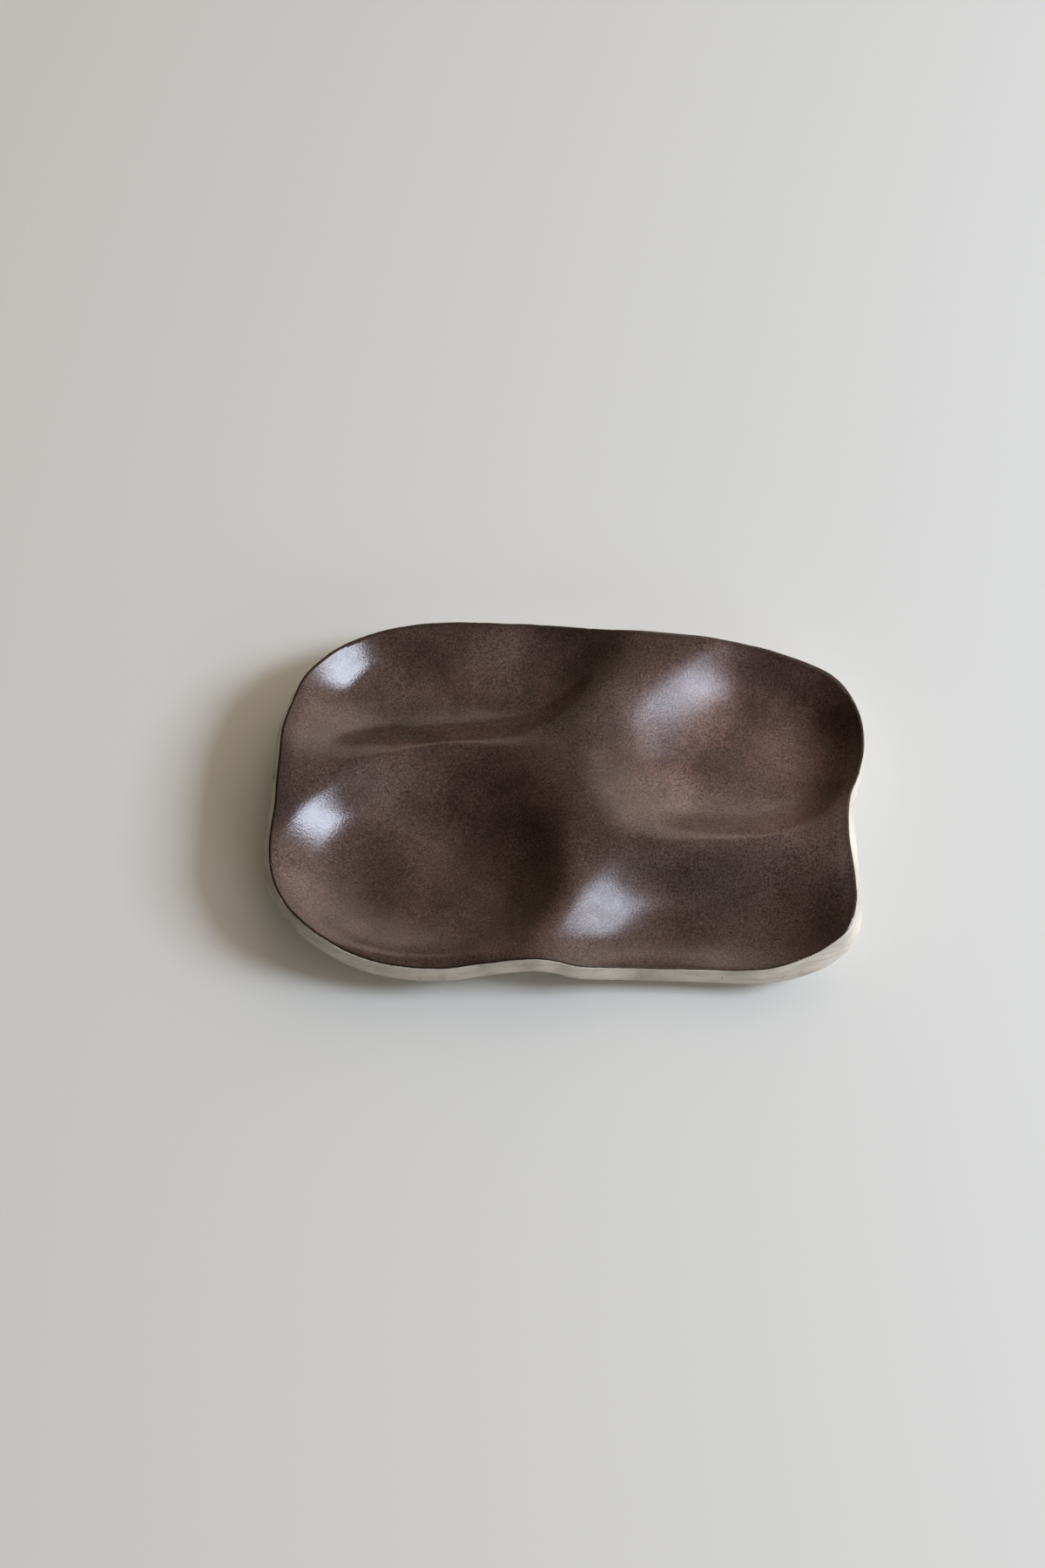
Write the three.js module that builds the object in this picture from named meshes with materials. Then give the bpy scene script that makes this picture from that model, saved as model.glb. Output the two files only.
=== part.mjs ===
// Snack plate: one slab of stoneware clay pressed into four wells, with a satin glaze fused to its upper face.
// Millimetres, +Z up, +X along the plate's length. The plate rests on the table at z = 0.
import * as THREE from 'three';

// The clay slab before pressing
const SLAB_LEVEL = 19.9; // height of the upper face at the middle, with no wells
const SLAB_RISE_X = 2.8; // how much higher the slab lies 100 mm out along the length
const SLAB_RISE_Y = 2.1; // the same across the width
const CLAY_THICKNESS = 7; // measured straight down
const EDGE_DROP = 6.4; // height of the cut edge, measured straight down
const LIP_SOFTNESS = 1.1; // how far the lip of a well is rubbed down
const LIP_SHARE = 0.2;
const CREST_SOFTNESS = 0.4; // how far the ridges between wells are rubbed down at the sides
const SADDLE_SOFTNESS = 1.1; // the same in the middle
const SADDLE_WIDTH = 15; // how far from the middle the ridges stay soft
const CREST_FROM = 45; // how far from the middle they are crisp
const UPPER_ARRIS = 0.25; // rounding of the cut edge where the glaze stops
const LOWER_ARRIS = 1.2; // rounding of the cut edge underneath
const SPREAD_FROM = 0.7; // share of the way out at which the underside starts to spread to the edge's foot

// The glaze
const GLAZE_THICKNESS = 0.5;
const GLAZE_EDGE_THICKNESS = 0.2; // it thins where it runs off the arris
const GLAZE_THINNING_WIDTH = 6; // width of the band in which it thins

// The pressed wells. The outline is where a well is half as deep as at its centre, drawn anticlockwise.
// Each of its points says how far along, how far across, and how steep the wall is there.
const BACK_LEFT_WELL = {
  centre: [-48, 47],
  depth: 16.4,
  outline: [
    [7, 49, 6.5], [14.5, 62, 5], [4, 71, 4.5], [-24, 70.5, 3.4], [-50, 70, 2.7], [-73.5, 67, 3.5],
    [-89, 55, 4.8], [-97.5, 39.5, 5.5], [-94, 26, 3.6], [-72, 24, 2.8], [-45, 26, 2.9], [-14, 29.5, 3.4],
    [-1, 38.5, 5.9],
  ],
};
const FRONT_LEFT_WELL = {
  centre: [-52, -22],
  depth: 16.6,
  outline: [
    [-12, -16, 3.9], [-21.5, 1, 2.8], [-45, 13, 2.6], [-73, 6, 3.5], [-93.5, -6, 4.4], [-103.5, -35, 4.8],
    [-85, -55, 5.6], [-59, -64, 5.2], [-28.5, -58, 4.6], [-11.5, -39.5, 4.3],
  ],
};
const BACK_RIGHT_WELL = {
  centre: [70, 20],
  depth: 17,
  outline: [
    [111, 24, 4.7], [98, 47, 4.5], [70, 57.5, 4.5], [45, 45, 3.3], [28, 27.5, 3], [23, 10, 4],
    [35, -6, 3.5], [56, -11, 3.6], [81, -10.5, 4], [100.5, 0, 5.4],
  ],
};
const FRONT_RIGHT_WELL = {
  centre: [50, -48],
  depth: 16.7,
  outline: [
    [98, -40.5, 3], [78, -30, 2.5], [50, -30, 2.5], [24.5, -33, 2.6], [9.5, -44, 3], [8, -65, 3.8],
    [48, -72, 3.2], [77, -72, 3.4], [99, -60, 4.4],
  ],
};
// A shallow dip that lowers the rim in front of the front left well
const FRONT_LEFT_LIP = {
  centre: [-58, -72],
  depth: 8,
  outline: [[-20, -72, 3], [-58, -48, 3], [-100, -72, 3], [-58, -96, 3]],
};
const WELLS = [BACK_LEFT_WELL, FRONT_LEFT_WELL, BACK_RIGHT_WELL, FRONT_RIGHT_WELL, FRONT_LEFT_LIP];

// The glaze edge in plan, a closed smooth curve cut by hand, anticlockwise from the waist on the right.
// Each point says how far along, how far across, and how far the foot of the cut edge stands out beyond it.
const RIGHT_SIDE = [[107.5, -34, 2.4], [106, -18, 3.4], [107.5, -3, 2.6], [112, 8.5, 1.2], [114.5, 20, 0.9]];
const BACK_RIGHT_CORNER = [[114, 31, 0.9], [110, 41.5, 0.9], [103, 50, 1]];
const BACK_SIDE = [
  [82, 60.5, 1.3], [62, 65, 1.4], [43, 67.3, 1.4], [24, 69.5, 1.4], [0, 73, 1.4], [-24, 73.8, 1.4],
  [-48, 74, 1.4],
];
const BACK_LEFT_CORNER = [
  [-66, 71.7, 1.5], [-76, 68.7, 1.6], [-86.5, 63.3, 1.7], [-94.5, 56.7, 1.8], [-101, 48.8, 1.9],
];
const LEFT_SIDE = [
  [-105.2, 39, 2.1], [-108.7, 26, 2.2], [-109.6, 10, 2.3], [-110.2, -6, 2.4], [-111.5, -22, 2.5],
];
const FRONT_LEFT_CORNER = [
  [-110.5, -33, 2.6], [-107.5, -41, 2.7], [-102.5, -48.5, 2.7], [-94.5, -56, 2.8], [-84, -62.5, 2.8],
];
const FRONT_SIDE = [
  [-71.5, -66.8, 2.8], [-58, -69, 2.8], [-45, -69.3, 2.8], [-29, -67.8, 2.7], [-7, -67.3, 2.6],
  [5, -68.9, 2.7], [20, -68.2, 2.7], [48, -68.6, 2.9],
];
const FRONT_RIGHT_CORNER = [
  [75, -68.6, 3.6], [86, -65.5, 4.6], [96, -61, 5], [104, -55, 4.2], [107.5, -45, 2.8],
];
const GLAZE_EDGE_POINTS = [
  ...RIGHT_SIDE, ...BACK_RIGHT_CORNER, ...BACK_SIDE, ...BACK_LEFT_CORNER,
  ...LEFT_SIDE, ...FRONT_LEFT_CORNER, ...FRONT_SIDE, ...FRONT_RIGHT_CORNER,
];

// How finely the net of cells is drawn
const CELLS_ALONG = 56;
const CELLS_ACROSS = 38;

const clay = new THREE.MeshStandardMaterial({ name: 'bare_stoneware', color: 0xc9c2b5, roughness: 0.85 });
const glaze = new THREE.MeshStandardMaterial({ name: 'satin_brown_glaze', color: 0x4d3c34, roughness: 0.32 });

// A closed smooth curve through drawn points. The third value rides along, too small to bend the curve.
const RIDER_SCALE = 1e-4;
function closedCurve(points) {
  const places = points.map(([x, y, rider]) => new THREE.Vector3(x, y, rider * RIDER_SCALE));
  return new THREE.CatmullRomCurve3(places, true, 'centripetal');
}

// Averages values round the circle over nine degrees, three times
function smoothedRound(values) {
  const reach = 4;
  let smoothed = values;
  for (let round = 0; round < 3; round += 1) {
    const before = smoothed;
    smoothed = before.map((_, k) => {
      let sum = 0;
      for (let n = -reach; n <= reach; n += 1) sum += before[(k + n + 360) % 360];
      return sum / (2 * reach + 1);
    });
  }
  return smoothed;
}

// Reads a well's outline for every degree round its centre: how near it is, and how steep the wall is there
function readOutline({ centre, depth, outline }) {
  const curve = closedCurve(outline);
  const samples = [];
  const count = 24 * outline.length;
  for (let k = 0; k < count; k += 1) {
    const point = curve.getPoint(k / count);
    const [along, across] = [point.x - centre[0], point.y - centre[1]];
    const angle = (THREE.MathUtils.radToDeg(Math.atan2(across, along)) + 360) % 360;
    samples.push({ angle, near: 1 / Math.hypot(along, across), steep: point.z / RIDER_SCALE });
  }
  samples.sort((p, q) => p.angle - q.angle);
  const first = samples[0];
  const last = samples[samples.length - 1];
  const round = [{ ...last, angle: last.angle - 360 }, ...samples, { ...first, angle: first.angle + 360 }];
  const near = [];
  const steep = [];
  let k = 0;
  for (let degree = 0; degree < 360; degree += 1) {
    while (round[k + 1].angle <= degree) k += 1;
    const part = (degree - round[k].angle) / (round[k + 1].angle - round[k].angle);
    near.push(THREE.MathUtils.lerp(round[k].near, round[k + 1].near, part));
    steep.push(THREE.MathUtils.lerp(round[k].steep, round[k + 1].steep, part));
  }
  return { centre, depth, near: smoothedRound(near), steep: smoothedRound(steep) };
}

const readWells = WELLS.map(readOutline);

// A value at an angle in degrees, between those of the two nearest whole degrees
function atAngle(values, angle) {
  const low = Math.floor(angle);
  return THREE.MathUtils.lerp(values[low % 360], values[(low + 1) % 360], angle - low);
}

// How deep one well presses the slab at a place in plan
function wellDepth({ centre, depth, near, steep }, x, y) {
  const [along, across] = [x - centre[0], y - centre[1]];
  const angle = (THREE.MathUtils.radToDeg(Math.atan2(across, along)) + 360) % 360;
  const reach = Math.hypot(along, across) * atAngle(near, angle);
  return depth * Math.exp(-Math.LN2 * reach ** atAngle(steep, angle));
}

// Height of the clay's upper face: the wells meet in ridges, and the softnesses round over ridges and lips
function clayHeight(x, y) {
  const crisp = THREE.MathUtils.smoothstep(Math.abs(x), SADDLE_WIDTH, CREST_FROM);
  const softness = THREE.MathUtils.lerp(SADDLE_SOFTNESS, CREST_SOFTNESS, crisp);
  const sum = readWells.reduce((total, well) => total + Math.expm1(wellDepth(well, x, y) / softness), 0);
  const joined = softness * Math.log1p(sum);
  const pressed = LIP_SOFTNESS * Math.log1p(LIP_SHARE * Math.expm1(joined / LIP_SOFTNESS));
  return SLAB_LEVEL + SLAB_RISE_X * (x / 100) ** 2 + SLAB_RISE_Y * (y / 100) ** 2 - pressed;
}

const glazeEdge = closedCurve(GLAZE_EDGE_POINTS);
glazeEdge.arcLengthDivisions = 4000;

// Where along the glaze edge, as a share of its length, it passes nearest to a point
function shareNearest([x, y]) {
  const steps = 1000;
  let best = 0;
  let nearest = Infinity;
  for (let k = 0; k < steps; k += 1) {
    const here = glazeEdge.getPointAt(k / steps);
    const gap = Math.hypot(here.x - x, here.y - y);
    if (gap < nearest) {
      nearest = gap;
      best = k;
    }
  }
  return best / steps;
}

// The net's four corners lie in the middle of the outline's four corners
const middle = (points) => points[Math.floor(points.length / 2)];
const CORNER_SHARES = [BACK_RIGHT_CORNER, BACK_LEFT_CORNER, FRONT_LEFT_CORNER, FRONT_RIGHT_CORNER]
  .map((points) => shareNearest(middle(points)));

// Share of the glaze edge's length for a place on the net's square border, from -1 to 1 both ways
function borderShare(u, v) {
  const [backRight, backLeft, frontLeft, frontRight] = CORNER_SHARES;
  const between = (from, to, part) => from + (((to - from + 1) % 1) * (part + 1)) / 2;
  if (v >= Math.abs(u)) return between(backRight, backLeft, -u / v);
  if (-u >= Math.abs(v)) return between(backLeft, frontLeft, v / u);
  if (-v >= Math.abs(u)) return between(frontLeft, frontRight, -u / v);
  return between(frontRight, backRight, v / u);
}

// The slab's cut edge at a share of the glaze edge's length: its place, which way is out, and its foot
function edgeFrame(share) {
  const step = 0.002;
  const place = glazeEdge.getPointAt(share);
  const ahead = glazeEdge.getPointAt((share + step) % 1);
  const behind = glazeEdge.getPointAt((share - step + 1) % 1);
  const out = new THREE.Vector3(ahead.y - behind.y, behind.x - ahead.x, 0).normalize();
  const foot = place.z / RIDER_SCALE;
  return { start: new THREE.Vector3(place.x, place.y, clayHeight(place.x, place.y)), out, foot };
}

// A point of the cut edge: millimetres out, the share of the foot's distance to go out, and millimetres down
function edgePoint({ start, out, foot }, beyond, alongFoot, down) {
  const point = start.clone().addScaledVector(out, beyond + alongFoot * foot);
  return point.setZ(start.z - down);
}

// The net in plan: each cell corner, with its share of the way to the edge and the edge beyond it
function planNet() {
  const net = [];
  for (let j = 0; j <= CELLS_ACROSS; j += 1) {
    for (let i = 0; i <= CELLS_ALONG; i += 1) {
      const u = (2 * i) / CELLS_ALONG - 1;
      const v = (2 * j) / CELLS_ACROSS - 1;
      const out = Math.max(Math.abs(u), Math.abs(v));
      const edge = edgeFrame(out > 0 ? borderShare(u / out, v / out) % 1 : 0);
      net.push({ x: edge.start.x * out, y: edge.start.y * out, out, edge });
    }
  }
  return net;
}

// The net's border, anticlockwise, as indices into the net
function borderLoop() {
  const at = (i, j) => j * (CELLS_ALONG + 1) + i;
  const loop = [];
  for (let i = 0; i < CELLS_ALONG; i += 1) loop.push(at(i, 0));
  for (let j = 0; j < CELLS_ACROSS; j += 1) loop.push(at(CELLS_ALONG, j));
  for (let i = CELLS_ALONG; i > 0; i -= 1) loop.push(at(i, CELLS_ACROSS));
  for (let j = CELLS_ACROSS; j > 0; j -= 1) loop.push(at(0, j));
  return loop;
}

// Which way each cell is split in two: along the diagonal that lies closer to the clay's upper face
function cellSplits(face) {
  const at = (i, j) => face[j * (CELLS_ALONG + 1) + i];
  const miss = (p, q) => {
    const mid = p.clone().add(q).divideScalar(2);
    return Math.abs(mid.z - clayHeight(mid.x, mid.y));
  };
  const splits = [];
  for (let j = 0; j < CELLS_ACROSS; j += 1) {
    for (let i = 0; i < CELLS_ALONG; i += 1) {
      const atCorner = (i === 0 || i === CELLS_ALONG - 1) && (j === 0 || j === CELLS_ACROSS - 1);
      const towardsMiddle = (i < CELLS_ALONG / 2) === (j < CELLS_ACROSS / 2);
      const rising = miss(at(i, j), at(i + 1, j + 1)) <= miss(at(i + 1, j), at(i, j + 1));
      splits.push(atCorner ? towardsMiddle : rising);
    }
  }
  return splits;
}

// Two triangles to a cell, facing up or down
function sheetTriangles(first, splits, upward) {
  const at = (i, j) => first + j * (CELLS_ALONG + 1) + i;
  const triangles = [];
  for (let j = 0; j < CELLS_ACROSS; j += 1) {
    for (let i = 0; i < CELLS_ALONG; i += 1) {
      const [a, b, c, d] = [at(i, j), at(i + 1, j), at(i + 1, j + 1), at(i, j + 1)];
      const pair = splits[j * CELLS_ALONG + i] ? [[a, b, c], [a, c, d]] : [[a, b, d], [b, c, d]];
      for (const [p, q, r] of pair) triangles.push(upward ? [p, q, r] : [p, r, q]);
    }
  }
  return triangles;
}

// A closed solid between an upper and a lower sheet of the net, with rings of points round its edge between them
function netSolid(upper, lower, rings, splits) {
  const loop = borderLoop();
  const points = [...upper, ...lower, ...rings.flat()];
  const ringStart = upper.length + lower.length;
  const rows = [
    loop,
    ...rings.map((ring, k) => loop.map((_, n) => ringStart + k * loop.length + n)),
    loop.map((index) => upper.length + index),
  ];
  const triangles = [
    ...sheetTriangles(0, splits, true),
    ...sheetTriangles(upper.length, splits, false),
  ];
  for (let k = 0; k + 1 < rows.length; k += 1) {
    for (let n = 0; n < loop.length; n += 1) {
      const next = (n + 1) % loop.length;
      triangles.push([rows[k][n], rows[k + 1][n], rows[k + 1][next]]);
      triangles.push([rows[k][n], rows[k + 1][next], rows[k][next]]);
    }
  }
  const geometry = new THREE.BufferGeometry();
  const positions = points.flatMap((point) => [point.x, point.y, point.z]);
  geometry.setAttribute('position', new THREE.Float32BufferAttribute(positions, 3));
  geometry.setIndex(triangles.flat());
  geometry.computeVertexNormals();
  return geometry;
}

const net = planNet();
const upperFace = net.map(({ x, y }) => new THREE.Vector3(x, y, clayHeight(x, y)));
const splits = cellSplits(upperFace);

// The cut edge from the glaze down to its foot: millimetres out, share of the foot's distance, millimetres down
const COSINE_45 = Math.SQRT1_2;
const EDGE_PROFILE = [
  [UPPER_ARRIS * COSINE_45, 0, UPPER_ARRIS * (1 - COSINE_45)],
  [UPPER_ARRIS, 0, UPPER_ARRIS],
  [0, 1, EDGE_DROP - LOWER_ARRIS],
  [-LOWER_ARRIS * (1 - COSINE_45), 1, EDGE_DROP - LOWER_ARRIS * (1 - COSINE_45)],
];
const edges = borderLoop().map((index) => net[index].edge);
const edgeRings = EDGE_PROFILE.map((step) => edges.map((edge) => edgePoint(edge, ...step)));

// The underside lies flat where the clay was pressed down to the table, and spreads to the foot of the cut edge
const lowerFace = net.map(({ x, y, out, edge }) => {
  const part = THREE.MathUtils.smoothstep(out, SPREAD_FROM, 1);
  const foot = edgePoint(edge, -LOWER_ARRIS, 1, EDGE_DROP);
  const thickness = THREE.MathUtils.lerp(CLAY_THICKNESS, EDGE_DROP, part);
  const under = Math.max(0, clayHeight(x, y) - thickness);
  return new THREE.Vector3(x + (foot.x - edge.start.x) * part, y + (foot.y - edge.start.y) * part, under);
});

// The glaze lies on the upper face and thins towards the edge
const glazeFace = net.map(({ out, edge }, index) => {
  const fromEdge = (1 - out) * Math.hypot(edge.start.x, edge.start.y);
  const part = THREE.MathUtils.smoothstep(fromEdge, 0, GLAZE_THINNING_WIDTH);
  const thickness = THREE.MathUtils.lerp(GLAZE_EDGE_THICKNESS, GLAZE_THICKNESS, part);
  return upperFace[index].clone().setZ(upperFace[index].z + thickness);
});

const stonewareBody = new THREE.Mesh(netSolid(upperFace, lowerFace, edgeRings, splits), clay);
stonewareBody.name = 'stoneware_body';
const glazeCoat = new THREE.Mesh(netSolid(glazeFace, upperFace, [], splits), glaze);
glazeCoat.name = 'glaze_coat';

// The finished plate is centred over the origin
const box = new THREE.Box3().setFromObject(stonewareBody);
const centre = box.getCenter(new THREE.Vector3());
for (const mesh of [stonewareBody, glazeCoat]) mesh.geometry.translate(-centre.x, -centre.y, 0);

const plate = new THREE.Group();
plate.name = 'snack_plate';
plate.add(stonewareBody, glazeCoat);

export default plate;
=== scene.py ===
"""Dresses the snack plate: a pressed stoneware slab with a satin brown glaze.

It lies on a pale table in a dim warm room, lit by a soft window.
"""

from __future__ import annotations

import logging
import math
from collections.abc import Sequence
from dataclasses import dataclass, field
from enum import Enum

import bpy
import numpy as np
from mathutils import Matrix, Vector, noise


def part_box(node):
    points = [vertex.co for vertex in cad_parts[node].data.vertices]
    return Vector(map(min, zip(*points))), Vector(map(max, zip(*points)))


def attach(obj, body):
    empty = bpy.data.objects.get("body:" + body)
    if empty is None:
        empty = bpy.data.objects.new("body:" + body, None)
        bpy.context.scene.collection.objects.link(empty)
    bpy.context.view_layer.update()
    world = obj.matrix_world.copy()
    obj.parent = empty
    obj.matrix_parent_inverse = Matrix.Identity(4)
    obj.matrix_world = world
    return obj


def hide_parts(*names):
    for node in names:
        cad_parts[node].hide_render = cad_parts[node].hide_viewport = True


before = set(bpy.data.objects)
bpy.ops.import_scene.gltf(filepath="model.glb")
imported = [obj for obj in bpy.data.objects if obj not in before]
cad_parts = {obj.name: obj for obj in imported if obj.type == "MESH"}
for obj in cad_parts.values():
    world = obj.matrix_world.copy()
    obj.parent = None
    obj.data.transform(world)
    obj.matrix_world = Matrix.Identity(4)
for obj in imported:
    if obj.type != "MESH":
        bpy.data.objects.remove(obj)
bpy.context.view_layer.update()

log = logging.getLogger("snack_plate")

MM = 0.001  # one millimetre, in metres
TINY = 1e-9  # keeps the middle of the net from dividing by nothing
TURN = 360  # degrees all the way round
EVERY_DEGREE = np.arange(float(TURN))
NOISE_LOW, NOISE_HIGH = 0.3, 0.7  # most values of a noise lie between these
NOISE_ROUGHNESS = 0.55  # how much finer noise rides on a pattern
BODY = "root"

PlanPoint = tuple[float, float, float]  # place along, place across, and a value that rides along


class Slot(Enum):
    """The record's material slots."""

    CLAY = "bare_stoneware"
    GLAZE = "satin_brown_glaze"


def srgb(hex_code: str) -> tuple[float, float, float, float]:
    """Turns an sRGB hex colour to linear.

    Args:
        hex_code: six hex digits with a leading hash.

    Returns:
        The linear red, green, blue and an alpha of 1.
    """
    parts = [int(hex_code[k:k + 2], 16) / 255 for k in (1, 3, 5)]
    linear = [c / 12.92 if c <= 0.04045 else ((c + 0.055) / 1.055) ** 2.4 for c in parts]
    return (*linear, 1.0)


def smoothstep(value: np.ndarray, low: float, high: float) -> np.ndarray:
    """A smooth ramp from 0 at low to 1 at high."""
    part = np.clip((value - low) / (high - low), 0, 1)
    return part * part * (3 - 2 * part)


def deselect_all() -> None:
    """Leaves nothing selected, so that an operator acts on the new piece alone."""
    if bpy.context.mode != "OBJECT":
        bpy.ops.object.mode_set(mode="OBJECT")
    bpy.ops.object.select_all(action="DESELECT")


def points_of(piece: bpy.types.Object) -> np.ndarray:
    """Reads a piece's points, one row each, in metres."""
    points = np.empty(len(piece.data.vertices) * 3)
    piece.data.vertices.foreach_get("co", points)
    return points.reshape(-1, 3)


def noise_round(around: float, busy: float, cut_at: float) -> float:
    """Noise that meets itself again round the plate.

    Args:
        around: angle round the plate, in radians.
        busy: radius of the circle on which the noise is read; more makes finer waves.
        cut_at: height at which the noise is cut.

    Returns:
        A value from about -1 to 1.
    """
    return noise.noise(Vector((busy * math.cos(around), busy * math.sin(around), cut_at)))


def per_metre(size_mm: float) -> float:
    """Scale of a pattern whose patches are about that many millimetres wide."""
    return 1 / (size_mm * MM)


def closed_curve(points: np.ndarray, steps: int) -> np.ndarray:
    """Samples a closed centripetal Catmull-Rom curve.

    Args:
        points: one row to a point: place along, place across, and one more value that rides along.
        steps: samples to a stretch between two points.

    Returns:
        The samples, one row each, without the repeated first one.
    """
    part = (np.arange(steps) / steps)[:, None]
    stretches = []
    for k in range(len(points)):
        p0, p1, p2, p3 = (points[(k + n) % len(points)] for n in (-1, 0, 1, 2))
        d0, d1, d2 = (math.sqrt(np.linalg.norm((b - a)[:2])) for a, b in ((p0, p1), (p1, p2), (p2, p3)))
        leave = ((p1 - p0) / d0 - (p2 - p0) / (d0 + d1) + (p2 - p1) / d1) * d1
        arrive = ((p2 - p1) / d1 - (p3 - p1) / (d1 + d2) + (p3 - p2) / d2) * d1
        square = -3 * p1 + 3 * p2 - 2 * leave - arrive
        cube = 2 * p1 - 2 * p2 + leave + arrive
        stretches.append(p1 + leave * part + square * part ** 2 + cube * part ** 3)
    return np.vstack(stretches)


@dataclass
class Well:
    """One well pressed into the slab, in millimetres.

    The outline is where the well is half as deep as at its centre, drawn anticlockwise in plan,
    and each of its points also says how steep the wall is there.
    """

    centre: tuple[float, float]
    depth: float
    outline: Sequence[PlanPoint]
    steps: int = 24  # samples to a stretch between two outline points
    reach: np.ndarray = field(init=False)  # from the centre to half depth, for every degree
    steepness: np.ndarray = field(init=False)

    def __post_init__(self) -> None:
        """Reads the outline's reach and steepness for every degree round the centre, a little smoothed."""
        samples = closed_curve(np.array(self.outline, float), self.steps)
        away = samples[:, :2] - np.array(self.centre)
        angle = np.degrees(np.arctan2(away[:, 1], away[:, 0])) % TURN
        order = np.argsort(angle)
        near = np.interp(EVERY_DEGREE, angle[order], 1 / np.hypot(*away[order].T), period=TURN)
        steep = np.interp(EVERY_DEGREE, angle[order], samples[order, 2], period=TURN)
        self.reach, self.steepness = 1 / self._smoothed(near), self._smoothed(steep)

    @staticmethod
    def _smoothed(values: np.ndarray, passes: int = 3, each_way: int = 4) -> np.ndarray:
        """Averages values round the circle.

        Args:
            values: one value for every degree.
            passes: how many times to average.
            each_way: over how many degrees each way.

        Returns:
            The smoothed values.
        """
        for _ in range(passes):
            values = np.mean([np.roll(values, k) for k in range(-each_way, each_way + 1)], axis=0)
        return values

    def pressed(self, x: np.ndarray, y: np.ndarray) -> np.ndarray:
        """How deep the well presses the slab at places in plan.

        Args:
            x: places along the plate, in millimetres.
            y: places across it.

        Returns:
            The depths in millimetres.
        """
        along, across = x - self.centre[0], y - self.centre[1]
        angle = np.degrees(np.arctan2(across, along)) % TURN
        near = np.interp(angle, EVERY_DEGREE, 1 / self.reach, period=TURN)
        steep = np.interp(angle, EVERY_DEGREE, self.steepness, period=TURN)
        return self.depth * np.exp(-math.log(2) * (np.hypot(along, across) * near) ** steep)


BACK_LEFT_WELL = Well((-48, 47), 16.4, (
    (7, 49, 6.5), (14.5, 62, 5.0), (4, 71, 4.5), (-24, 70.5, 3.4), (-50, 70, 2.7), (-73.5, 67, 3.5),
    (-89, 55, 4.8), (-97.5, 39.5, 5.5), (-94, 26, 3.6), (-72, 24, 2.8), (-45, 26, 2.9), (-14, 29.5, 3.4),
    (-1, 38.5, 5.9)))
FRONT_LEFT_WELL = Well((-52, -22), 16.6, (
    (-12, -16, 3.9), (-21.5, 1, 2.8), (-45, 13, 2.6), (-71.5, 5.5, 3.6), (-94.5, -10, 4.5), (-103, -35, 5.4),
    (-85, -55, 5.6), (-59, -64, 5.2), (-28.5, -58, 4.6), (-11.5, -39.5, 4.3)))
BACK_RIGHT_WELL = Well((70, 20), 17.0, (
    (111, 24, 4.7), (98, 47, 4.5), (70, 57.5, 4.5), (45, 45, 3.3), (28, 27.5, 3.0), (23, 10, 4.0),
    (35, -6, 3.7), (56, -11, 4.6), (81, -10.5, 5.2), (100.5, 0, 5.8)))
FRONT_RIGHT_WELL = Well((50, -48), 16.7, (
    (98, -40.5, 3.0), (78, -30, 2.5), (50, -30.5, 2.6), (24, -34.5, 2.7), (11, -45.5, 3.1), (3, -64, 3.7),
    (48, -72, 3.2), (77, -72, 3.4), (99, -60, 4.4)))
# A shallow press that draws the rim down at the front left
FRONT_LEFT_LIP = Well((-58, -72), 8.0, ((-20, -72, 3.0), (-58, -48, 3.0), (-100, -72, 3.0), (-58, -96, 3.0)))


@dataclass(frozen=True)
class Slab:
    """The clay slab: its level before pressing, its thickness, its arrises and its wells, in millimetres."""

    level: float = 19.85
    rise_x: float = 2.8  # how much higher the slab lies at rise_at along from the middle
    rise_y: float = 2.1  # the same across
    rise_at: float = 100.0
    thickness: float = 7.0
    edge_drop: float = 6.4  # how far the foot of the cut edge lies below the glaze's edge
    lip_softness: float = 1.1  # how far the lip of a well is rubbed down
    lip_share: float = 0.2  # how much of a shallow press is left there
    crest_softness: float = 0.3  # how far the ridges between wells are rubbed down at the sides
    saddle_softness: float = 1.1  # the same in the middle
    saddle_width: float = 15.0  # how far from the middle the ridges stay soft
    crest_from: float = 45.0  # how far from the middle they are crisp
    upper_arris: float = 0.25
    lower_arris: float = 1.2
    wells: tuple[Well, ...] = (
        BACK_LEFT_WELL, FRONT_LEFT_WELL, BACK_RIGHT_WELL, FRONT_RIGHT_WELL, FRONT_LEFT_LIP)

    def height(self, x: np.ndarray, y: np.ndarray) -> np.ndarray:
        """Height of the clay's upper face.

        Args:
            x: places along the plate, in millimetres.
            y: places across it.

        Returns:
            The heights in millimetres.
        """
        depths = np.stack([well.pressed(x, y) for well in self.wells])
        crisp = smoothstep(np.abs(x), self.saddle_width, self.crest_from)
        softness = self.saddle_softness + (self.crest_softness - self.saddle_softness) * crisp
        joined = softness * np.log1p(np.expm1(depths / softness).sum(0))
        pressed = self.lip_softness * np.log1p(self.lip_share * np.expm1(joined / self.lip_softness))
        rise = self.rise_x * (x / self.rise_at) ** 2 + self.rise_y * (y / self.rise_at) ** 2
        return self.level + rise - pressed


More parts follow.
